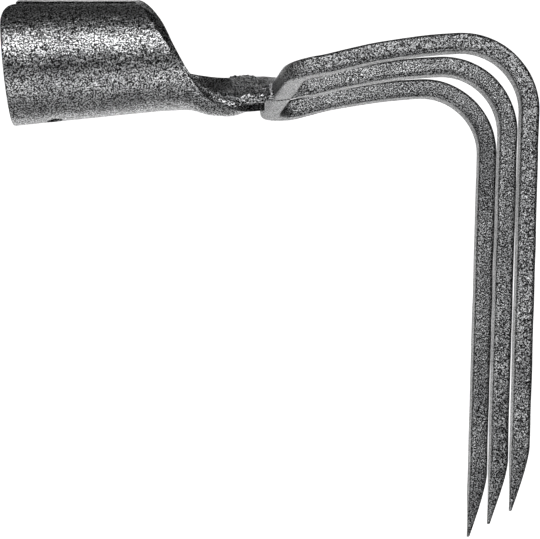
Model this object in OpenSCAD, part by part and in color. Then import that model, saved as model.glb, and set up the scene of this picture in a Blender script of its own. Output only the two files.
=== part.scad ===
// Three-tine hand cultivator head: a handle socket rolled from sheet with a
// flat tongue, and three bent bar tines welded to the tongue as a fork.
// Frame: origin at the middle of the socket's mouth, +X along the socket's
// axis towards the fork, +Z up, so the tines point down. Millimetres.

/* [Socket] */
// Outside diameter of the socket at its mouth
mouth_d = 44; // [40:0.5:48]
// Thickness of the socket's rolled sheet
wall = 2.4; // [2:0.1:3]
// Half angle of the socket's taper, in degrees
taper = 2.7; // [1.5:0.1:3.2]
// Length of the rolled part, along its closed side
socket_len = 72; // [70:0.5:74]
// Gap between the two flaps along the open seam
seam_gap = 2; // [0.5:0.1:3]
// How far the seam is turned from the top, towards -Y, in degrees
seam_turn = 30; // [20:1:32]
// How far the mouth is cut out of square, in degrees
mouth_skew = 11; // [0:1:12]
// Distance from the mouth to where the flaps start to fall away
flap_len = 43.5; // [40:0.5:46]
// Slope of the flaps' cut edges, in degrees
flap_slope = 57; // [50:1:60]

/* [Screw hole] */
// Diameter of the hole for the handle's screw
screw_d = 5.5; // [4:0.1:7]
// Distance from the mouth to the middle of the hole
screw_x = 15; // [13:1:24]

/* [Tongue] */
// Width of the flat tongue that carries the fork
tongue_w = 24; // [20:1:26]
// Thickness of the tongue
tongue_t = 5.6; // [5:0.1:6.5]
// Distance from the mouth to the tongue's end
tongue_end = 88; // [86:0.5:89]
// Height of the tongue's top face at the middle plane
tongue_top_z = -12.6; // [-13.2:0.1:-12]

/* [Tines] */
// Distance between neighbouring tines
tine_pitch = 37.5; // [32:0.5:40]
// Depth of a tine's bar, in the plane of its bend
bar_t = 6.5; // [6:0.1:7]
// Width of a tine's bar, across its bend
bar_w = 7.4; // [6.8:0.1:8]
// Radius of the bar's corners
bar_r = 1.4; // [0.8:0.1:1.6]
// Height of the tines' highest point
crown_z = -6; // [-7:0.5:-5]
// Distance from the mouth to the tines' highest point
crown_x = 152.5; // [146:0.5:160]
// Radius of the long arch between the fork and the bend, at the bar's middle
arch_r = 217; // [200:1:240]
// Radius of the bend, at the bar's middle
bend_r = 22.8; // [20:0.1:26]
// How far the tines lean back towards the handle, in degrees
lean = 7.1; // [0:0.1:10]
// Height of the tines' points
point_z = -173; // [-185:0.5:-150]
// Length of the ground bevel behind each point
bevel_len = 20; // [17:0.5:24]

/* [Fork] */
// Distance from the mouth to the back face of the side tines' arms
arm_x = 92; // [91:0.5:94]
// Radius of the elbow between arm and arch, at the bar's middle
elbow_r = 10; // [8:0.5:12]
// Slope of the plane that the arms and elbows lie in, in degrees
fork_tilt = 3.7; // [2:0.1:6]
// Width of the middle tine's forged root
root_w = 15; // [13:0.5:17]
// Length of the middle tine's forged root
root_len = 18; // [16:1:22]

/* [Welds] */
// Leg length of the fillet welds in the fork's corners
fillet = 4; // [3:0.1:4]
// Length of the weld patch across the tongue's end
patch_len = 9; // [6:0.5:10]
// How far the weld patch stands out of the tongue
patch_h = 0.9; // [0.6:0.1:1.2]

/* [Hidden] */
$fn = 96;

steel = "#3b3d40";      // dark coated steel
weld_steel = "#595b5e"; // rougher weld metal under the same coat
far = 130;              // reach of the shapes that only cut
step = 0.1;             // a tine's next piece is this much slimmer, so it
lap = 0.4;              // slips this far into the one before it

mouth_r = mouth_d / 2;
overrun = 8;            // the cone is drawn past the mouth, then cut back
flap_corner_r = 5;      // round corner where the flaps start to fall
throat_r = 9;           // round throat where the flaps run into the tongue
tongue_r = 1.6;         // round edges of the tongue
heel_x = 48;            // where the floor starts to rise out of the sheet
neck_x = 64;            // where the floor is nearly up to the tongue's top
blend_x = 78;           // where the tongue has its full width
skin = 0.2;             // how far the tongue's root lies inside the sheet

// The tongue's section, in the seam's own plane: its middle and its top.
tongue_y = tongue_top_z * sin(seam_turn);
tongue_z = tongue_top_z * cos(seam_turn);

// The arch and the bend of a tine, on the bar's middle line.
crown_mid_z = crown_z - bar_t / 2;
bend_turn = 90 + lean;
leg_x = crown_x + bend_r * sin(bend_turn);
leg_z = crown_mid_z - bend_r * (1 - cos(bend_turn));
leg_len = (leg_z - point_z) / cos(lean);
elbow_x = arm_x + bar_w / 2 + elbow_r;
elbow_slope = asin((crown_x - elbow_x) / arch_r);
elbow_z = crown_mid_z - arch_r * (1 - cos(elbow_slope));
arm_gap = 1;            // each arm stops this short of the middle plane
root_x = tongue_end + root_len;
root_slope = asin((crown_x - root_x) / arch_r);
root_z = crown_mid_z - arch_r * (1 - cos(root_slope));
arm_z = elbow_z - elbow_r * sin(fork_tilt);

function cone_r(x) = mouth_r - x * tan(taper);

// Points on an arc about [x, z], from angle a0 to angle a1.
function arc(x, z, r, a0, a1) =
    [for (i = [0:12]) [x + r * cos(a0 + (a1 - a0) * i / 12), z + r * sin(a0 + (a1 - a0) * i / 12)]];

// ---- shared shapes -------------------------------------------------------

// Turns a shape about the X axis, from upright to the seam's own plane.
module seam_plane() rotate([seam_turn, 0, 0]) children();

// Stands a flat outline, drawn as [y, z], across the X axis at x.
module across(x, len) translate([x, 0, 0]) rotate([90, 0, 90]) linear_extrude(len) children();

// A rectangle with round corners, centred.
module round_rect(w, h, r) {
    square([w - 2 * r, h], center = true);
    square([w, h - 2 * r], center = true);
    for (i = [-1, 1], j = [-1, 1])
        translate([i * (w / 2 - r), j * (h / 2 - r)]) circle(r, $fn = 32);
}

// ---- socket and tongue ---------------------------------------------------

// The socket's cone from x0 to x1, set in from the outer surface by inset.
module cone_solid(x0, x1, inset) {
    translate([x0, 0, 0]) rotate([0, 90, 0])
        cylinder(h = x1 - x0, r1 = cone_r(x0) - inset, r2 = cone_r(x1) - inset);
}

// What the flaps leave open above the tongue, seen from the side.
module flap_opening() {
    top = cone_r(flap_len) + 0.4;
    start_z = top - flap_corner_r;
    // where the straight cut edge meets the throat's circle
    run = (start_z - tongue_z - throat_r + (flap_corner_r + throat_r) * cos(flap_slope)) / tan(flap_slope);
    throat_x = flap_len + (flap_corner_r + throat_r) * sin(flap_slope) + run;
    polygon(concat(
        [[flap_len, far]],
        arc(flap_len, start_z, flap_corner_r, 90, 90 - flap_slope),
        arc(throat_x, tongue_z + throat_r, throat_r, 270 - flap_slope, 270),
        [[far, tongue_z], [far, far]]));
}

// The tongue's section, in the seam's plane, w wide.
module tongue_section(w) {
    translate([tongue_y + (tongue_w - w) / 2, tongue_z - tongue_t / 2])
        round_rect(w, tongue_t, tongue_r);
}

// A slice of the socket's floor at x: the part of a disc below height z.
module floor_slice(x, r, z) {
    across(x, 0.5) intersection() {
        circle(r, $fn = 64);
        translate([-far / 2, z - far]) square([far, far]);
    }
}

// The tongue, and the forged floor that rises out of the sheet to meet it.
module tongue() {
    hull() {
        floor_slice(heel_x, cone_r(heel_x) - 4 * skin, 5 * skin + wall / 3 - cone_r(heel_x));
        floor_slice(neck_x, cone_r(neck_x) - skin, tongue_z - 1.1);
        across(blend_x, tongue_end - blend_x) tongue_section(tongue_w);
    }
}

// The far flank is cut away to run in to the tongue's edge.
module flank_cut() {
    side = tongue_y + tongue_w / 2;
    translate([0, 0, -far]) linear_extrude(far)
        polygon([[neck_x - 8, mouth_r - 3], [socket_len + 2, side + 3.6], [socket_len + 2, far], [neck_x - 8, far]]);
}

module socket_shank() {
    color(steel) difference() {
        seam_plane() union() {
            difference() {
                cone_solid(-overrun, socket_len, 0);
                cone_solid(-overrun - 1, socket_len + 1, wall);
                rotate([90, 0, 0]) translate([0, 0, -far / 2]) linear_extrude(far) flap_opening();
                translate([-far / 2, -seam_gap / 2, 0]) cube([far * 1.5, seam_gap, far]);
                flank_cut();
            }
            tongue();
        }
        rotate([0, 0, -mouth_skew]) translate([-far, -far / 2, -far / 2]) cube([far, far, far]);
        translate([screw_x, 0, -far]) cylinder(h = far, d = screw_d);
    }
}

// ---- tines ---------------------------------------------------------------

// The bar's section, grown all over by half of grow.
module bar_section(grow) round_rect(bar_t + grow, bar_w + grow, bar_r);

// A bar bent to radius r in the XZ plane, turning through angle a. Its end
// nearest the crown has its middle at [x, z].
module bent_bar(x, z, r, a, ahead) {
    translate([x, 0, z - r]) rotate([90, 0, 0]) rotate([0, 0, ahead ? 90 - a : 90])
        rotate_extrude(angle = a) translate([r, 0]) bar_section(0);
}

// What the ground bevel leaves of a leg: the front face curves in to meet
// the back face, and both flanks draw together at the point.
module leg_bevel() {
    half = bar_t / 2;
    bevel_r = (bevel_len * bevel_len + bar_t * bar_t) / (2 * bar_t);
    intersection() {
        rotate([90, 0, 0]) translate([0, 0, -bar_w]) linear_extrude(2 * bar_w) union() {
            translate([-half - 1, bevel_len]) square([bar_t + 2, far * 2]);
            intersection() {
                translate([half - bevel_r, bevel_len]) circle(bevel_r, $fn = 192);
                translate([-half - 1, -1]) square([bar_t + 2, bevel_len + 2]);
            }
        }
        rotate([90, 0, 90]) translate([0, 0, -bar_t]) linear_extrude(2 * bar_t)
            polygon([[-0.9, 0], [0.9, 0], [bar_w / 2, bevel_len], [bar_w / 2, far * 2],
                [-bar_w / 2, far * 2], [-bar_w / 2, bevel_len]]);
    }
}

module leg() {
    translate([leg_x, 0, leg_z]) rotate([0, 180 + lean, 0]) mirror([1, 0, 0]) intersection() {
        translate([0, 0, -lap]) linear_extrude(leg_len + lap) bar_section(-step);
        translate([0, 0, leg_len]) mirror([0, 0, 1]) leg_bevel();
    }
}

// Everything of a tine past its root: arch, bend and leg.
module tine_body(slope) {
    bent_bar(crown_x, crown_mid_z, arch_r, slope, false);
    bent_bar(crown_x, crown_mid_z, bend_r, bend_turn, true);
    leg();
}

// The middle tine's root, forged wide to meet the tongue.
module forged_root() {
    hull() {
        seam_plane() across(tongue_end, 0.5) tongue_section(root_w);
        translate([root_x, 0, root_z]) rotate([0, -root_slope, 0]) rotate([0, 90, 0])
            linear_extrude(0.5) bar_section(3 * step);
    }
}

module middle_tine() {
    color(steel) {
        forged_root();
        tine_body(root_slope + asin((lap + 0.5) / arch_r));
    }
}

// A side tine's arm across the fork and its elbow, in the elbow's own place.
module arm() {
    translate([elbow_x, tine_pitch, elbow_z]) rotate([0, -fork_tilt, 0]) {
        translate([0, -elbow_r, 0]) rotate([0, 0, 90]) rotate_extrude(angle = 90)
            translate([elbow_r, 0]) rotate(90) bar_section(step);
        translate([-elbow_r, arm_gap - tine_pitch, 0]) rotate([-90, 0, 0])
            linear_extrude(tine_pitch - elbow_r - arm_gap) rotate(90) bar_section(step);
    }
}

// A side tine on the +Y side, fitted round the middle tine's root.
module side_tine() {
    translate([0, tine_pitch, 0]) tine_body(elbow_slope + asin(2 * lap / arch_r));
    arm();
}

module left_tine() {
    color(steel) difference() {
        side_tine();
        forged_root();
    }
}

module right_tine() {
    color(steel) difference() {
        mirror([0, 1, 0]) side_tine();
        forged_root();
    }
}

// ---- welds ---------------------------------------------------------------

module neck_weld() {
    color(weld_steel) seam_plane() difference() {
        across(tongue_end - patch_len, patch_len + 0.8)
            translate([tongue_y, tongue_z + patch_h - tongue_t / 2])
                round_rect(tongue_w - 0.8, tongue_t, tongue_r);
        across(tongue_end - patch_len - 1, patch_len + 4) tongue_section(tongue_w);
    }
}

// A triangular bead in the corner at [x, y], with legs towards dx and dy,
// from z0 up to z1, trimmed to the root and to the arm it holds.
module corner_bead(x, y, dx, dy, z0, z1) {
    color(weld_steel) difference() {
        translate([0, 0, z0]) linear_extrude(z1 - z0)
            polygon([[x + dx * fillet, y], [x, y + dy * fillet], [x - dx, y + dy * fillet],
                [x - dx, y - 3 * dy], [x + dx * fillet, y - 3 * dy]]);
        forged_root();
        if (dy > 0) arm();
        if (dy < 0) mirror([0, 1, 0]) arm();
    }
}

module right_back_weld() corner_bead(arm_x, -3, -1, -1, arm_z - 2.4, arm_z + 2.4);
module right_front_weld() corner_bead(arm_x + bar_w, -3.4, 1, -1, arm_z - 1.6, arm_z + 3);
module left_back_weld() corner_bead(arm_x, 8, -1, 1, arm_z - 1, arm_z + 3);
module left_front_weld() corner_bead(arm_x + bar_w, 7, 1, 1, arm_z - 1, arm_z + 3.4);

socket_shank();
middle_tine();
left_tine();
right_tine();
neck_weld();
left_back_weld();
left_front_weld();
right_back_weld();
right_front_weld();
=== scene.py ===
# %% [markdown]
# # A three-tine hand cultivator head
#
# The real tool is a rolled sheet socket that runs out into a flat tongue, with
# three bent bars welded to the tongue as a fork, all under one dark hammered
# coat. This lesson builds each of those pieces as a surface worked out on a
# grid of two parameters, because every one of them is a profile carried along
# a path: that gives even faces, smooth bends and no hidden seams.

# %% Load the frame
import bpy
import math
import numpy as np
from mathutils import Matrix, Vector


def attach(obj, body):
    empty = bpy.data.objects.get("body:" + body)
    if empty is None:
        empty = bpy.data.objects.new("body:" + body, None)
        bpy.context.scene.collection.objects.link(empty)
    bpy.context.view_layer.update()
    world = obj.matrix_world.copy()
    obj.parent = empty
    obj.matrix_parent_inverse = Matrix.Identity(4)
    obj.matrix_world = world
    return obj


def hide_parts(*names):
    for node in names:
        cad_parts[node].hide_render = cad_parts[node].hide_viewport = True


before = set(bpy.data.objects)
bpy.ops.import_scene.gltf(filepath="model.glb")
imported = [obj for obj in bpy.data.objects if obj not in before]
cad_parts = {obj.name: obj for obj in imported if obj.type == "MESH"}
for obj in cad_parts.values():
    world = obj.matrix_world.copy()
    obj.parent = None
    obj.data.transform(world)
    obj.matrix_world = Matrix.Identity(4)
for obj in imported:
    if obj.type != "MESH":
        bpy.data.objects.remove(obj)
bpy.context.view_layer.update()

# %% [markdown]
# Lengths are easiest to think about in millimetres, the maker's unit, so the
# shapes are worked out in them and turned into metres only when a mesh is
# made. The seam of the socket is turned 30 degrees about the socket's axis,
# and the tongue lies in the same turned plane, so those shapes are worked out
# upright and turned at the end.

# %% Sizes and small helpers
SEAM_TURN = math.radians(30)
MOUTH_R, TAPER, WALL = 22.0, math.radians(2.7), 2.4
TONGUE_W, TONGUE_T, TONGUE_END = 24.0, 5.6, 88.0
TONGUE_Y, TONGUE_Z = -12.6 * math.sin(SEAM_TURN), -12.6 * math.cos(SEAM_TURN)
PITCH, BAR_T, BAR_W, BAR_R = 37.5, 6.5, 7.4, 1.5
CROWN_X, CROWN_Z, ARCH_R, BEND_R = 152.5, -6.0 - 6.5 / 2, 217.0, 22.8
LEAN, POINT_Z, BEVEL = math.radians(7.1), -172.6, 22.0
ARM_X, ELBOW_R, FORK_TILT = 92.0, 10.0, math.radians(3.7)


def smooth(a, b, x):
    """Rises from 0 at a to 1 at b along an S-shaped curve: 3t^2 - 2t^3."""
    t = np.clip((np.asarray(x, float) - a) / (b - a), 0, 1)
    return t * t * (3 - 2 * t)


def turned(p, angle=SEAM_TURN):
    """Points turned about the X axis: y and z mix by the angle's cosine and sine."""
    c, s = math.cos(angle), math.sin(angle)
    x, y, z = p[..., 0], p[..., 1], p[..., 2]
    return np.stack([x, c * y - s * z, s * y + c * z], -1)


def wobble(p, size, seed, octaves=3):
    """Soft noise from sums of sine waves in random directions, about -1 to 1,
    with waves about size long."""
    rng = np.random.default_rng(seed)
    total, weight = np.zeros(p.shape[:-1]), 0.0
    for k in range(octaves):
        for _ in range(6):
            d = rng.normal(size=3)
            d *= 2 * math.pi / (size * 0.62 ** k) / np.linalg.norm(d)
            total += np.sin(p @ d + rng.uniform(0, 6.283)) * 0.55 ** k
            weight += 0.55 ** k
    return total / weight * 2.2


print("tongue centre in the turned plane, mm:", round(TONGUE_Y, 2), round(TONGUE_Z, 2))

# %% [markdown]
# A grid of points becomes a mesh when neighbouring points are joined in
# fours. A loop grid wraps round in its second direction, as a tube does, and
# its two ends are closed with a fan. Whole index arrays are made at once.

# %% Grid to mesh
def grid_faces(rows, cols, wrap):
    """Index quads (i,j) (i+1,j) (i+1,j+1) (i,j+1) of a grid of rows by cols."""
    i, j = np.meshgrid(np.arange(rows - 1), np.arange(cols if wrap else cols - 1), indexing="ij")
    k = (j + 1) % cols
    corners = [i * cols + j, i * cols + k, (i + 1) * cols + k, (i + 1) * cols + j]
    return np.stack(corners, -1).reshape(-1, 4)


def add_mesh(name, points_mm, faces, material, replaces=(), slot=None, smooth_angle=40):
    """One object at the origin from points in mm and lists of face indices."""
    mesh = bpy.data.meshes.new(name)
    mesh.from_pydata((points_mm * 0.001).tolist(), [], [list(map(int, f)) for f in faces])
    mesh.update()
    mesh.validate()
    mesh.polygons.foreach_set("use_smooth", np.ones(len(mesh.polygons), bool))
    mesh.set_sharp_from_angle(angle=math.radians(smooth_angle))
    mesh.materials.append(material)
    obj = bpy.data.objects.new(name, mesh)
    bpy.context.scene.collection.objects.link(obj)
    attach(obj, "root")
    if replaces:
        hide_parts(*replaces)
    volume = sum_volume(points_mm, faces)
    print(f"{name}: {len(points_mm)} points, {len(faces)} faces, {volume / 1000:.2f} cm3")
    return obj


def sum_volume(p, faces):
    """Enclosed volume: a sixth of the triple products of the faces' fans. It
    is positive when the faces point outwards."""
    total = 0.0
    by_size = {}
    for f in faces:
        by_size.setdefault(len(f), []).append(f)
    for n, group in by_size.items():
        g = np.array(group)
        for k in range(1, n - 1):
            a, b, c = p[g[:, 0]], p[g[:, k]], p[g[:, k + 1]]
            total += np.einsum("ij,ij->i", a, np.cross(b, c)).sum() / 6
    return total


def tube(rows):
    """Points and faces of a closed tube from rows (n, m, 3) of loops, with a
    fan at each end that meets in the end loop's middle."""
    n, m = rows.shape[:2]
    p = np.concatenate([rows.reshape(-1, 3), rows[0].mean(0)[None], rows[-1].mean(0)[None]])
    faces = grid_faces(n, m, True).tolist()
    j = np.arange(m)
    k = (j + 1) % m
    faces += np.stack([np.full(m, n * m), k, j], -1).tolist()
    faces += np.stack([np.full(m, n * m + 1), (n - 1) * m + j, (n - 1) * m + k], -1).tolist()
    if sum_volume(p, faces) < 0:
        faces = [f[::-1] for f in faces]
    return p, faces

# %% [markdown]
# The coat is a hammered, metal-flake enamel over steel: nearly black in its
# hollows, with bright flakes where the film is stretched thin over the bumps.
# It could be one dark glossy colour, but the tool's look is all in the fine
# grain, so three sizes of noise work together: long leathery creases, a
# pebble of about a millimetre, and single flakes that glint. All of them read
# Object coordinates, so the grain runs on across pieces without a seam.

# %% The hammered coat
def coat(name, base, flake, grain=1.0, rough=0.36, bump=1.0):
    """A dark coated metal: noise for creases, pebble and flakes drives its
    colour, its roughness and its bump."""
    mat = bpy.data.materials.new(name)
    mat.use_nodes = True
    nt = mat.node_tree
    nodes, link = nt.nodes, nt.links.new
    out = nodes["Material Output"]
    skin = nodes["Principled BSDF"]
    skin.inputs["Metallic"].default_value = 0.92
    skin.inputs["Specular IOR Level"].default_value = 0.4
    skin.inputs["Coat Weight"].default_value = 0.06
    skin.inputs["Coat Roughness"].default_value = 0.3
    where = nodes.new("ShaderNodeTexCoord")

    def noise(scale, detail, rough_n, distort=0.0, stretch=(1, 1, 1)):
        n = nodes.new("ShaderNodeTexNoise")
        n.inputs["Scale"].default_value = scale
        n.inputs["Detail"].default_value = detail
        n.inputs["Roughness"].default_value = rough_n
        n.inputs["Distortion"].default_value = distort
        m = nodes.new("ShaderNodeMapping")
        m.inputs["Scale"].default_value = stretch
        link(where.outputs["Object"], m.inputs["Vector"])
        link(m.outputs["Vector"], n.inputs["Vector"])
        return n.outputs["Fac"]

    def remap(value, a, b, c=0.0, d=1.0):
        r = nodes.new("ShaderNodeMapRange")
        r.inputs["From Min"].default_value = a
        r.inputs["From Max"].default_value = b
        r.inputs["To Min"].default_value = c
        r.inputs["To Max"].default_value = d
        link(value, r.inputs["Value"])
        return r.outputs["Result"]

    def mix(fac, a, b):
        m = nodes.new("ShaderNodeMix")
        m.data_type = "RGBA"
        link(fac, m.inputs[0])
        for socket, v in ((m.inputs[6], a), (m.inputs[7], b)):
            if isinstance(v, tuple):
                socket.default_value = v
            else:
                link(v, socket)
        return m.outputs[2]

    crease = noise(330 * grain, 4, 0.6, 0.9, (0.75, 1, 1))
    pebble = noise(1050 * grain, 3, 0.65, 0.3)
    flakes = noise(1850 * grain, 2, 0.75)
    cloud = noise(45, 3, 0.55)
    dark = tuple(c * 0.12 for c in base[:3]) + (1.0,)
    tone = mix(remap(pebble, 0.45, 0.57), dark, base)
    tone = mix(remap(flakes, 0.49, 0.56), tone, flake)
    shade = nodes.new("ShaderNodeMix")
    shade.data_type, shade.blend_type = "RGBA", "MULTIPLY"
    shade.inputs[0].default_value = 1.0
    link(tone, shade.inputs[6])
    link(mix(remap(cloud, 0.35, 0.65), (0.78, 0.78, 0.79, 1), (1.12, 1.12, 1.12, 1)), shade.inputs[7])
    link(shade.outputs[2], skin.inputs["Base Color"])
    link(remap(pebble, 0.35, 0.65, rough + 0.14, rough - 0.08), skin.inputs["Roughness"])

    b1 = nodes.new("ShaderNodeBump")
    b1.inputs["Strength"].default_value = 1.0
    b1.inputs["Distance"].default_value = 0.00042 * bump
    link(crease, b1.inputs["Height"])
    b2 = nodes.new("ShaderNodeBump")
    b2.inputs["Strength"].default_value = 1.0
    b2.inputs["Distance"].default_value = 0.00016 * bump
    link(pebble, b2.inputs["Height"])
    link(b1.outputs["Normal"], b2.inputs["Normal"])
    b3 = nodes.new("ShaderNodeBump")
    b3.inputs["Strength"].default_value = 1.0
    b3.inputs["Distance"].default_value = 0.00006 * bump
    link(flakes, b3.inputs["Height"])
    link(b2.outputs["Normal"], b3.inputs["Normal"])
    link(b3.outputs["Normal"], skin.inputs["Normal"])
    return mat


GRAPHITE = (0.024, 0.0243, 0.0246, 1)
HAMMERED = coat("hammered_coat", GRAPHITE, (0.56, 0.565, 0.57, 1), rough=0.28, bump=0.9)
TINE_COAT = coat("tine_coat", GRAPHITE, (0.40, 0.404, 0.408, 1), grain=1.15, rough=0.34, bump=1.0)
WELD_GREY, WELD_FLAKE = (0.05, 0.051, 0.052, 1), (0.8, 0.805, 0.81, 1)
WELD_COAT = coat("weld_coat", WELD_GREY, WELD_FLAKE, grain=0.9, rough=0.36, bump=1.6)
print("finishes:", HAMMERED.name, TINE_COAT.name, WELD_COAT.name)

# %% [markdown]
# The socket starts as flat sheet. It is rolled into a cone with an open seam,
# and past the cone its two flaps are cut away in an S so that the floor can
# be forged into a thick, nearly flat tongue. It could be a cone with parts
# cut off, but the real sheet never stops: the same strip bends less and less.
# So the section at each distance from the mouth is one curved strip with a
# thickness, and along the socket the curve opens and the strip thickens.

# %% Socket: the flaps' cut edges
CUT_TOP = 20.2
NEAR_START, NEAR_SLOPE, NEAR_CORNER, NEAR_THROAT = 46.0, math.radians(56.5), 2.6, 6.0
FAR_START, FAR_RUN = 40.0, 26.0
CUT_CLEAR = 41.0


def near_cut(x):
    """Height of the near flap's cut edge over the axis: a straight fall from
    the top, eased into the top and into the tongue. The ease between two
    heights a and b is (a + b -+ sqrt((a - b)^2 + k^2)) / 2."""
    fall = CUT_TOP - (x - NEAR_START) * math.tan(NEAR_SLOPE)
    top = (fall + CUT_TOP - np.hypot(fall - CUT_TOP, NEAR_CORNER)) / 2
    return (top + TONGUE_Z + np.hypot(top - TONGUE_Z, NEAR_THROAT)) / 2


def far_cut(x):
    """Height of the far flap's cut edge: a parabola, 1 - u^2 of the way up
    from the tongue, where u runs from 0 at the cut's start to 1 at its end."""
    u = np.clip((x - FAR_START) / FAR_RUN, 0, 1)
    return TONGUE_Z + (CUT_TOP - TONGUE_Z) * (1 - u**2)


def cut_height(x, edge, start):
    """The edge's height at x, and well above the sheet before the cut starts."""
    return np.where(x < start, 30.0, edge(x))


print("near cut, mm:", [(x, round(float(near_cut(x)), 1)) for x in (43, 48, 54, 60, 66, 74)])
print("far cut, mm:", [(x, round(float(far_cut(x)), 1)) for x in (43, 48, 54, 60, 66, 74)])

# %% Socket: the strip's section at each distance
def strip(x, side):
    """The strip's two faces at each x: arrays (rows, across, 3) in the turned
    plane. An arc on the cone and a straight line in the tongue are mixed
    point by point, and each face lies half a thickness to its side of it."""
    s = np.linspace(-1, 1, ACROSS)[None, :]
    x = x[:, None]
    r = MOUTH_R - WALL / 2 - x * math.tan(TAPER)
    gap = 1.0 + 0.15 * np.sin(x * 0.4)
    seam = np.pi - np.arcsin(gap / r)
    near, far = cut_height(x, near_cut, CUT_CLEAR), cut_height(x, far_cut, FAR_START)
    cut = np.arccos(np.clip(-np.where(s > 0, far, near) / r, -1, 1))
    phi = np.minimum(seam, cut) * s
    near_side = np.clip(-s, 0, 1)
    open_up = smooth(57 + 5 * near_side, 80 + 6 * near_side, x)
    arc = np.stack([r * np.sin(phi), -r * np.cos(phi)], -1)
    t = WALL + (TONGUE_T - WALL) * smooth(52, 78, x)
    flat_y = TONGUE_Y + s * (TONGUE_W / 2 - 0.9)
    sag = -1.3 * smooth(60, 70, x) * (1 - smooth(74, 86, x)) * (1 - s**2)
    flat = np.stack([flat_y + 0 * x, TONGUE_Z - TONGUE_T / 2 + sag + 0 * s], -1)
    mid = arc * (1 - open_up)[..., None] + flat * open_up[..., None]
    belly = 2.3 * smooth(58, 70, x) * (1 - smooth(76, 88, x)) * np.exp(-(((s + 0.62) / 0.32) ** 2))
    d = np.gradient(mid, axis=1)
    d /= np.linalg.norm(d, axis=-1, keepdims=True)
    normal = np.stack([d[..., 1], -d[..., 0]], -1)
    face = mid + normal * (t / 2 * side + (belly if side > 0 else 0))[..., None]
    return np.concatenate([np.broadcast_to(x, face.shape[:2])[..., None], face], -1)


ACROSS, LIP = 201, 7
stations = np.concatenate([np.linspace(0, 0.9, 4, endpoint=False), np.linspace(0.9, TONGUE_END, 168)])
outer, inner = strip(stations, 1.0), strip(stations, -1.0)
print("sheet at the mouth, mm:", round(float(np.linalg.norm(outer[0, 100] - inner[0, 100])), 2))

# %% [markdown]
# The sheet's edges are rounded over: half a turn of small steps joins the
# outer face to the inner one along each flap. At the mouth the last rows draw
# in the same way. The mouth is also cut a little out of square, and the near
# flap has a rounded corner where it meets the seam, so rows near the mouth
# slide along the axis by an amount that fades out behind the screw hole.

# %% Socket: close the section and shape the mouth
def lips(a, b):
    """Half turns from edge a to edge b of each row: the middle of the two,
    plus cosine and sine steps out along the strip's direction."""
    mid, half = (a + b) / 2, (a - b) / 2
    out = np.stack([half[..., 0] * 0, half[..., 2], -half[..., 1]], -1)
    ang = np.linspace(0, np.pi, LIP + 2)[1:-1]
    cos, sin = np.cos(ang)[None, :, None], np.sin(ang)[None, :, None]
    return mid[:, None] + half[:, None] * cos + out[:, None] * sin * 0.9


near_edge = lips(inner[:, 0], outer[:, 0])
far_edge = lips(outer[:, -1], inner[:, -1])
loop = np.concatenate([outer, far_edge, inner[:, ::-1], near_edge], 1)
centre = np.concatenate([(outer + inner) / 2, far_edge, (outer + inner)[:, ::-1] / 2, near_edge], 1)
pinch = np.sqrt(np.clip(1 - (1 - np.clip(stations / 0.9, 0, 1)) ** 2, 0.06, 1))
loop = centre + (loop - centre) * pinch[:, None, None]
world = turned(loop)
n_o = outer.shape[1]
along = np.concatenate([np.linspace(-1, 1, n_o), np.ones(LIP), np.linspace(1, -1, n_o), -np.ones(LIP)])
from_seam = (1 - np.abs(along)) * np.pi * MOUTH_R
near_round = 4.8 * (1 - np.sqrt(1 - np.clip(1 - from_seam / 12.0, 0, 1) ** 2))
far_round = 5.4 * (1 - smooth(8, 32, from_seam))
rounding = np.where(along < 0, near_round, far_round)
slide = world[..., 1] * math.tan(math.radians(11)) + rounding[None, :]
world[..., 0] += slide * (1 - smooth(0, 34, stations))[:, None]
mouth_x = world[0, :, 0]
print("mouth from", round(float(mouth_x.min()), 1), "to", round(float(mouth_x.max()), 1), "mm")

# %% [markdown]
# The screw hole could be cut with a Boolean, but its edges would be ragged on
# such a fine grid. Here the grid itself opens: points near the hole move out
# along their own direction until a square block of cells becomes a circle.
# The block's cells are left out on both faces of the sheet, and a ring of
# walls joins the two circles.

# %% Socket: open the grid for the screw hole
HOLE_X, HOLE_R, REACH = 15.0, 2.75, 2.5
mid_world = turned((outer + inner) / 2)
mid_turn = np.arctan2(mid_world[..., 1], -mid_world[..., 2])
mid_r = np.hypot(mid_world[..., 1], mid_world[..., 2])
row_x = stations
i0, i1 = np.searchsorted(row_x, [HOLE_X - 2.6, HOLE_X + 2.6])
hole_row = (i0 + i1) // 2
j0, j1 = np.searchsorted(mid_turn[hole_row] * mid_r[hole_row], [-2.6, 2.6])


def opened(points, radius_at_0):
    """Moves one face's points round the hole. Each point's place in the block
    is measured from -1 to 1, and on the block's edge that becomes the circle;
    the change fades to nothing at REACH times the block's size."""
    a = (row_x - HOLE_X)[:, None] + 0 * mid_turn
    b = mid_turn * mid_r
    a1 = np.where(a > 0, a / (row_x[i1] - HOLE_X), a / (HOLE_X - row_x[i0]))
    b1 = np.where(b > 0, b / b[hole_row, j1], -b / b[hole_row, j0])
    m = np.maximum(np.abs(a1), np.abs(b1))
    e = np.maximum(np.hypot(a1, b1), 1e-9)
    w = np.clip((m - 1) / (REACH - 1), 0, 1)
    w = w * w * (3 - 2 * w)
    near = (m < REACH) & (np.abs(mid_turn) < 1)
    x = HOLE_X + (1 - w) * HOLE_R * m * a1 / e + w * (points[..., 0] - HOLE_X)
    y = (1 - w) * HOLE_R * m * b1 / e + w * points[..., 1]
    r = radius_at_0 - x * math.tan(TAPER)
    z = -np.sqrt(np.maximum(r * r - y * y, 1))
    return np.where(near[..., None], np.stack([x, y, z], -1), points)


n_loop = world.shape[1]
out_col = np.arange(n_o)
in_col = n_o + LIP + (n_o - 1 - np.arange(n_o))
world[:, out_col] = opened(world[:, out_col], MOUTH_R)
world[:, in_col] = opened(world[:, in_col], MOUTH_R - WALL)
print("hole block rows", i0, i1, "columns", j0, j1)

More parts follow.
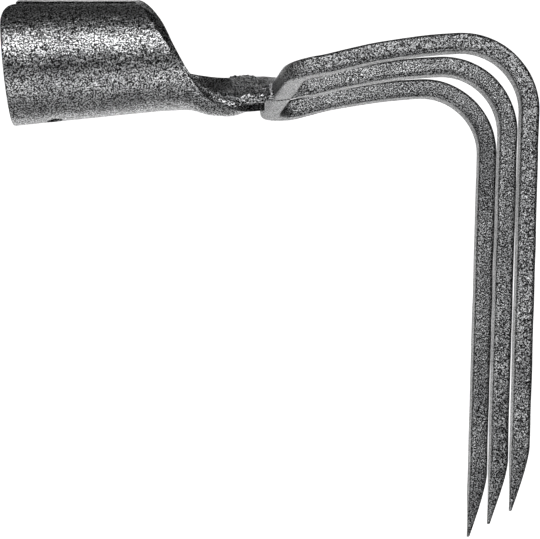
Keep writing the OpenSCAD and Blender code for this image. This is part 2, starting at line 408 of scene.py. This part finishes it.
# %% Socket: faces, mouth rim, hole wall and tongue end
def shank_faces():
    """Tube faces without the hole's block, a ring of walls through the hole,
    and end strips that join outer to inner face at the mouth and the tongue."""
    rows, m = world.shape[:2]
    quads = grid_faces(rows, m, True)
    i, j = quads[:, 0] // m, quads[:, 0] % m
    in_rows = (i >= i0) & (i < i1)
    back = n_o + LIP + n_o - 1
    drop = in_rows & (((j >= j0) & (j < j1)) | ((j >= back - j1) & (j < back - j0)))
    faces = quads[~drop].tolist()
    ring = [(i0, k) for k in range(j0, j1)] + [(k, j1) for k in range(i0, i1)]
    ring += [(i1, k) for k in range(j1, j0, -1)] + [(k, j0) for k in range(i1, i0, -1)]
    ring = np.array(ring)
    o = ring[:, 0] * m + out_col[ring[:, 1]]
    q = ring[:, 0] * m + in_col[ring[:, 1]]
    faces += np.stack([o, np.roll(o, -1), np.roll(q, -1), q], -1).tolist()
    for row, flip in ((0, 1), (rows - 1, -1)):
        a, b = row * m + out_col, row * m + in_col
        ends = np.stack([a[:-1], b[:-1], b[1:], a[1:]], -1).tolist()
        far = [row * m + k for k in range(n_o - 1, n_o + LIP + 1)]
        near = [row * m + k for k in range(2 * n_o + LIP - 1, m)] + [row * m]
        faces += [f[::flip] for f in ends + [far[::-1], near[::-1]]]
    return faces


def tidy_mesh(p, faces):
    """Leaves out points that no face uses and renumbers the rest."""
    used = np.zeros(len(p), bool)
    used[[k for f in faces for k in f]] = True
    new = np.cumsum(used) - 1
    return p[used], [[int(new[k]) for k in f] for f in faces]


flat_world = world.reshape(-1, 3)
dent = wobble(flat_world, 26.0, 3) * 0.14 * smooth(44, 60, flat_world[:, 0])
hub = np.stack([flat_world[:, 0] * 0, flat_world[:, 1], flat_world[:, 2]], -1)
hub_far = np.maximum(np.linalg.norm(hub, axis=1, keepdims=True), 4)
flat_world = flat_world + hub / hub_far * dent[:, None]
points, faces = tidy_mesh(flat_world, shank_faces())
if sum_volume(points, faces) < 0:
    faces = [f[::-1] for f in faces]
shank = add_mesh("socket_and_tongue", points, faces, HAMMERED, ["socket_shank"], "coated_steel")

# %% [markdown]
# A tine is one square bar with rounded corners. The side ones run across the
# fork, turn forward round an elbow, rise in a long arch, and drop over a
# tight bend into a straight leg. The middle one starts as the wide forged
# root that lies on the end of the tongue. A bar could be a curve with a
# bevel, but a curve can't thin towards its point or grow out of a root, so
# each one is its own sweep: the path gives places and directions, and the
# section is laid square to them.

# %% Tines: the path's middle line
BEND_TURN = math.pi / 2 + LEAN


def arc_points(cx, cz, r, a0, a1, step=0.8):
    """Points on a circle in the XZ plane, from angle a0 to a1 measured from
    +X, with the outward direction at each."""
    n = max(4, int(abs(a1 - a0) * r / step))
    a = np.linspace(a0, a1, n)
    zero = 0 * a
    out = np.stack([np.cos(a), zero, np.sin(a)], -1)
    return np.stack([cx + r * np.cos(a), zero, cz + r * np.sin(a)], -1), out


def forward_path(slope):
    """From the arch's start, where it climbs at the angle slope, over the
    bend to the point: places and outward directions."""
    p1, n1 = arc_points(CROWN_X, CROWN_Z - ARCH_R, ARCH_R, math.pi / 2 + slope, math.pi / 2)
    p2, n2 = arc_points(CROWN_X, CROWN_Z - BEND_R, BEND_R, math.pi / 2, math.pi / 2 - BEND_TURN)
    end, out = p2[-1], n2[-1]
    down = np.array([out[2], 0, -out[0]])
    length = (end[2] - POINT_Z) / math.cos(LEAN)
    bevel_start = length - BEVEL - 2
    s = np.concatenate([np.arange(0.8, bevel_start, 1.4), np.linspace(bevel_start, length, 40)])
    p3 = end + down * s[:, None]
    n3 = np.broadcast_to(out, p3.shape)
    return np.concatenate([p1[:-1], p2, p3]), np.concatenate([n1[:-1], n2, n3]), length


ELBOW_X = ARM_X + BAR_W / 2 + ELBOW_R
ELBOW_SLOPE = math.asin((CROWN_X - ELBOW_X) / ARCH_R)
ELBOW_Z = CROWN_Z - ARCH_R * (1 - math.cos(ELBOW_SLOPE))
print("arch starts at", round(ELBOW_X, 1), round(ELBOW_Z, 1), "mm")
print("it climbs", round(math.degrees(ELBOW_SLOPE), 1), "deg")

# %% Tines: the bar's section
def rounded(w, t, r, per_corner=7, per_side=7):
    """A rectangle w by t with corners of radius r, as one loop of points (a
    across the width, b across the thickness) starting at the +a, +b corner.
    w, t and r may be arrays, one value for each row."""
    w, t, r = (np.atleast_1d(np.asarray(v, float))[:, None] for v in (w, t, r))
    ang = np.linspace(0, np.pi / 2, per_corner)
    parts = []
    for k, (sa, sb) in enumerate(((1, 1), (-1, 1), (-1, -1), (1, -1))):
        th = ang + k * np.pi / 2
        across, up = sa * (w / 2 - r) + r * np.cos(th), sb * (t / 2 - r) + r * np.sin(th)
        parts.append(np.stack([across, up], -1))
    loops = []
    f = np.linspace(0, 1, per_side + 2)[1:-1][None, :, None]
    for k in range(4):
        nxt = parts[(k + 1) % 4]
        loops += [parts[k], parts[k][:, -1:] * (1 - f) + nxt[:, :1] * f]
    return np.concatenate(loops, 1)


def run_length(p):
    """Distance along a path to each of its points."""
    return np.concatenate([[0], np.cumsum(np.linalg.norm(np.diff(p, axis=0), axis=1))])


def swept_bar(p, n, seed, first=None):
    """Lays the bar's section along path p with outward directions n. Towards
    the point the bar thins, its front face curves in to the back one, and
    its flanks draw together: the depth loses 0.86 of itself by the power 1.4
    of the way along the bevel. Slow waves of a tenth of a millimetre give the
    forged bar's unevenness."""
    t = np.gradient(p, axis=0)
    t /= np.linalg.norm(t, axis=1, keepdims=True)
    side = np.cross(n, t)
    s = run_length(p)
    to_go = s[-1] - s
    thin = 1 - 0.04 * smooth(130, 5, to_go)
    u = np.clip(1 - to_go / BEVEL, 0, 1)
    depth = BAR_T * thin * (1 - 0.86 * u**1.4)
    width = BAR_W * thin * (1 - 0.74 * smooth(0.0, 1.06, u) ** 1.15)
    loop = rounded(width, depth, np.minimum(BAR_R * thin, np.minimum(width, depth) * 0.45))
    back = (BAR_T * thin - depth) / 2
    a, b = loop[..., 0], loop[..., 1] - back[:, None]
    rows = p[:, None] + side[:, None] * a[..., None] + n[:, None] * b[..., None]
    lift = n[:, None] * wobble(rows, 22.0, seed)[..., None]
    sway = side[:, None] * wobble(rows, 17.0, seed + 9)[..., None]
    rows = rows + (lift + sway) * 0.10
    if first is not None:
        rows = np.concatenate([first(rows[0]), rows])
    return rows


def rounded_tip(rows):
    """Adds three shrinking loops past the last one, so that the point ends
    in a small worn nose and not in a flat."""
    step = rows[-1].mean(0) - rows[-2].mean(0)
    step /= np.linalg.norm(step)
    mid = rows[-1].mean(0)
    caps = [mid + (rows[-1] - mid) * math.sqrt(1 - k * k) + step * 0.35 * k for k in (0.5, 0.8, 0.96)]
    return np.concatenate([rows, np.array(caps)])


# %% Tines: the middle one, with its forged root
ROOT_W, ROOT_LEN = 15.0, 18.0
ROOT_X = TONGUE_END + ROOT_LEN
ROOT_SLOPE = math.asin((CROWN_X - ROOT_X) / ARCH_R)


def forged_root(first_loop):
    """Loops from the tongue's end to the bar: the plate's section, turned
    with the tongue, is mixed point by point with the bar's first loop."""
    plate = rounded(ROOT_W, TONGUE_T, 1.6)[0]
    y = TONGUE_Y + (TONGUE_W - ROOT_W) / 2 + plate[:, 0]
    plate3 = np.stack([0 * y, y, TONGUE_Z - TONGUE_T / 2 + plate[:, 1]], -1)
    plate3 = turned(plate3)
    f = np.linspace(0, 1, 30, endpoint=False)
    mix = (f * 0.55 + 0.45 * smooth(0, 1, f))[:, None, None]
    rows = plate3[None] * (1 - mix) + first_loop[None] * mix
    rows[..., 0] = (TONGUE_END - 0.4) * (1 - f[:, None]) + first_loop[None, :, 0] * f[:, None]
    swell = 0.5 * np.sin(np.pi * f)[:, None, None]
    mid = rows.mean(1, keepdims=True)
    out = rows - mid
    out = out / np.linalg.norm(out, axis=-1, keepdims=True)
    rows = rows + out * swell * np.array([0, 1, 1])
    return rows + wobble(rows, 7.0, 31)[..., None] * out * 0.22


path, outward, LEG = forward_path(ROOT_SLOPE)
middle = rounded_tip(swept_bar(path, outward, 40, forged_root))
middle_tine = add_mesh("middle_tine_bar", *tube(middle), TINE_COAT, ["middle_tine"], "coated_steel")

# %% Tines: the side ones, with their arms and elbows
def side_path(sign):
    """Across the fork, round the elbow and on over the arch: the arm and the
    elbow lie in a plane that climbs a little less than the arch's start, and
    the change is eased by averaging each point with its neighbours."""
    c, s = math.cos(FORK_TILT), math.sin(FORK_TILT)
    ahead, up = np.array([c, 0, s]), np.array([-s, 0, c])
    across = np.array([0.0, sign, 0.0])
    start = np.array([ELBOW_X, sign * PITCH, ELBOW_Z])
    y = np.arange(1.0, PITCH - ELBOW_R, 0.8)
    arm = start - ahead * ELBOW_R + across * (y[:, None] - PITCH)
    a = np.linspace(0, np.pi / 2, 24)
    round_it = -ahead * np.cos(a)[:, None] + across * np.sin(a)[:, None]
    elbow = start - across * ELBOW_R + ELBOW_R * round_it
    p, n, _ = forward_path(ELBOW_SLOPE)
    p = p + across * PITCH
    flat_n = np.broadcast_to(up, (len(arm) + len(elbow), 3))
    p, n = np.concatenate([arm, elbow, p[1:]]), np.concatenate([flat_n, n[1:]])
    a, b = len(arm), len(arm) + len(elbow) + 12
    for _ in range(10):
        p[a:b] = (p[a - 1:b - 1] + 2 * p[a:b] + p[a + 1:b + 1]) / 4
        n[a:b] = (n[a - 1:b - 1] + 2 * n[a:b] + n[a + 1:b + 1]) / 4
    return p, n / np.linalg.norm(n, axis=1, keepdims=True)


for name, sign, seed in (("left_tine", 1.0, 50), ("right_tine", -1.0, 60)):
    rows = rounded_tip(swept_bar(*side_path(sign), seed))
    add_mesh(name + "_bar", *tube(rows), TINE_COAT, [name], "coated_steel")

# %% [markdown]
# The fork is joined by hand welding: a wide rough patch across the tongue's
# end and a short bead in each corner of the arms. A weld is a row of frozen
# ripples, so each bead is a rounded profile carried along its corner, fatter
# and thinner once for every ripple, with some noise on top.

# %% Welds: beads in the fork's corners
def bead(name, path_pts, radius, flat, seed, node):
    """A closed bead along a path: radius times the root of one minus the
    eighth power along it, times ripples, with noise."""
    ends = np.array(path_pts, float)
    n, m = 64, 40
    f = np.linspace(0, 1, n)
    known = np.linspace(0, 1, len(ends))
    p = np.stack([np.interp(f, known, ends[:, k]) for k in range(3)], -1)
    t = np.gradient(p, axis=0)
    t /= np.linalg.norm(t, axis=1, keepdims=True)
    up = np.cross(t, np.array(flat, float))
    up /= np.linalg.norm(up, axis=1, keepdims=True)
    over = np.cross(up, t)
    a = np.linspace(0, 2 * np.pi, m, endpoint=False)
    ripple = 1 + 0.07 * np.sin(f * np.linalg.norm(ends[-1] - ends[0]) / 1.3 * 2 * np.pi)
    r = radius * np.sqrt(np.clip(1 - np.abs(2 * f - 1) ** 6, 0.004, 1)) * ripple
    cos, sin = np.cos(a)[None, :, None], np.sin(a)[None, :, None] * 0.8
    rows = p[:, None] + r[:, None, None] * (up[:, None] * cos + over[:, None] * sin)
    rows = rows + (rows - p[:, None]) / radius * wobble(rows, 3.2, seed)[..., None] * 0.28
    return add_mesh(name, *tube(rows), WELD_COAT, [node], "weld_metal", 60)


BEADS = {
    "right_back": (71, [(91.4, -3.6, -17.6), (91.6, -3.6, -15.0), (91.7, -3.4, -12.6)]),
    "right_front": (72, [(99.9, -4.2, -17.0), (100.1, -4.2, -14.6), (100.2, -4.0, -12.2)]),
    "left_back": (73, [(91.5, 3.2, -16.6), (91.5, 6.2, -15.0), (91.6, 9.4, -13.2)]),
    "left_front": (74, [(99.9, 7.4, -15.8), (100.1, 7.6, -14.0), (100.2, 7.4, -12.2)]),
}
for corner, (seed, route) in BEADS.items():
    bead(f"{corner}_bead", route, 1.7, (1, 0, 0), seed, f"{corner}_weld")

# %% Welds: the patch across the tongue's end
def weld_patch():
    """A blanket over the tongue's end: its height falls off as the root of
    one minus the sixth power of the place across it, both ways, and short
    waves across the plate give the weld's ripples. It closes underneath."""
    u, v = np.meshgrid(np.linspace(-1, 1, 70), np.linspace(-1, 1, 120), indexing="ij")
    edge = 1 + 0.05 * np.sin(v * 9) + 0.03 * np.sin(v * 23 + 1)
    dome = np.sqrt(np.clip(1 - (u / 1.02) ** 8, 0, 1)) * np.sqrt(np.clip(1 - (v / 1.01) ** 12, 0, 1))
    x = 83.9 + u * 4.7 * np.where(u < 0, edge, 1)
    y = TONGUE_Y + v * (TONGUE_W / 2 - 0.2)
    flat = np.stack([x, y, 0 * x], -1)
    ripple = 0.14 * np.sin(x * 3.9 + 0.8 * np.sin(y * 0.9)) + 0.34 * wobble(flat, 2.6, 81)
    top = np.stack([x, y, TONGUE_Z - 0.5 + dome * (1.25 + ripple)], -1)
    under = np.stack([x, y, 0 * x + TONGUE_Z - 0.9], -1)
    drop = np.clip((np.abs(v) - 0.93) / 0.07, 0, 1) ** 2 * 1.5
    top[..., 2] -= drop
    under[..., 2] -= drop
    rows, cols = u.shape
    p = np.concatenate([turned(top).reshape(-1, 3), turned(under).reshape(-1, 3)])
    q = grid_faces(rows, cols, False)
    n = rows * cols
    k = np.arange(n).reshape(rows, cols)
    rim = np.concatenate([k[0, :-1], k[:-1, -1], k[-1, :0:-1], k[:0:-1, 0]])
    faces = q.tolist() + (q[:, ::-1] + n).tolist()
    faces += np.stack([np.roll(rim, -1), rim, rim + n, np.roll(rim, -1) + n], -1).tolist()
    if sum_volume(p, faces) < 0:
        faces = [f[::-1] for f in faces]
    return p, faces


add_mesh("neck_weld_patch", *weld_patch(), WELD_COAT, ["neck_weld"], "weld_metal", 60)

# %% [markdown]
# The tool is shown as in a catalogue: against plain white, seen from the side
# and from a little below, so the floor lies under the view. A long lens keeps
# the three tines nearly parallel. The camera's directions are worked out from
# where it stands and what it looks at, then rolled by five degrees.

# %% Camera
def camera_matrix(at, target, roll):
    """Right, up and back directions of a camera at a place, rolled."""
    ahead = (target - at).normalized()
    right = ahead.cross(Vector((0, 0, 1))).normalized()
    up = right.cross(ahead)
    c, s = math.cos(roll), math.sin(roll)
    r, u = right * c - up * s, up * c + right * s
    return Matrix((r, u, -ahead)).transposed().to_4x4()


EYE, LOOK_AT = Vector((-0.1718, -1.5563, -0.3365)), Vector((0.095, 0, -0.078))
lens = bpy.data.cameras.new("long_lens")
lens.sensor_width = 36.0
lens.lens = 305.37
lens.shift_x, lens.shift_y = -0.0459, -0.0039
lens.clip_start, lens.clip_end = 0.05, 20.0
camera = bpy.data.objects.new("camera", lens)
camera.matrix_world = Matrix.Translation(EYE) @ camera_matrix(EYE, LOOK_AT, math.radians(5))
bpy.context.scene.collection.objects.link(camera)
bpy.context.scene.camera = camera
print("camera at", tuple(round(v, 3) for v in EYE), "lens", lens.lens)

# %% [markdown]
# A dark glossy tool shows its lamps more than its own colour. A long soft box
# in front and above lays the bright band along the socket; a lower one lifts
# the belly; the gap between them is the dark band. A white wall behind gives
# the clean ground and the thin bright rims.

# %% Stage and light
def plain(name, colour, glow=0.0):
    """A matt colour, with a glow of its own where it is a lit wall."""
    mat = bpy.data.materials.new(name)
    mat.use_nodes = True
    node = mat.node_tree.nodes["Principled BSDF"]
    node.inputs["Base Color"].default_value = colour
    node.inputs["Roughness"].default_value = 0.9
    node.inputs["Emission Color"].default_value = (1, 1, 1, 1)
    node.inputs["Emission Strength"].default_value = glow
    return mat


def panel(name, corners, material):
    """A flat four-cornered sheet of the stage."""
    mesh = bpy.data.meshes.new(name)
    mesh.from_pydata(corners, [], [(0, 1, 2, 3)])
    mesh.materials.append(material)
    obj = bpy.data.objects.new(name, mesh)
    bpy.context.scene.collection.objects.link(obj)
    return obj


def soft_box(name, at, aim, width, height, power):
    """A rectangular lamp at a place, turned towards what it lights."""
    lamp = bpy.data.lights.new(name, "AREA")
    lamp.shape, lamp.size, lamp.size_y, lamp.energy = "RECTANGLE", width, height, power
    obj = bpy.data.objects.new(name, lamp)
    obj.location = at
    obj.rotation_mode = "QUATERNION"
    obj.rotation_quaternion = (Vector(aim) - Vector(at)).to_track_quat("-Z", "Y")
    bpy.context.scene.collection.objects.link(obj)
    return obj


FLOOR_Z = -0.62
FLOOR = [(-4, -4, FLOOR_Z), (4, -4, FLOOR_Z), (4, 4, FLOOR_Z), (-4, 4, FLOOR_Z)]
WALL_SHEET = [(-3, 2.8, -1.2), (3.4, 2.8, -1.2), (3.4, 2.8, 2.6), (-3, 2.8, 2.6)]
panel("floor", FLOOR, plain("pale_floor", (0.8, 0.8, 0.8, 1)))
panel("backdrop", WALL_SHEET, plain("white_wall", (0.9, 0.9, 0.9, 1), 1.02))
centre = (0.08, 0, -0.05)
soft_box("key_box", (0.05, -0.78, 0.32), centre, 1.3, 0.3, 7.5)
soft_box("belly_box", (0.05, -0.30, -0.58), centre, 1.0, 0.3, 2.2)
soft_box("under_box", (0.12, 0.75, -0.42), centre, 0.8, 0.3, 1.5)
soft_box("left_box", (-0.65, -0.35, -0.1), centre, 0.2, 0.7, 2)
world = bpy.data.worlds.new("studio")
world.use_nodes = True
world.node_tree.nodes["Background"].inputs["Color"].default_value = (0.8, 0.8, 0.8, 1)
world.node_tree.nodes["Background"].inputs["Strength"].default_value = 0.07
bpy.context.scene.world = world
bpy.context.scene.view_settings.view_transform = "Standard"
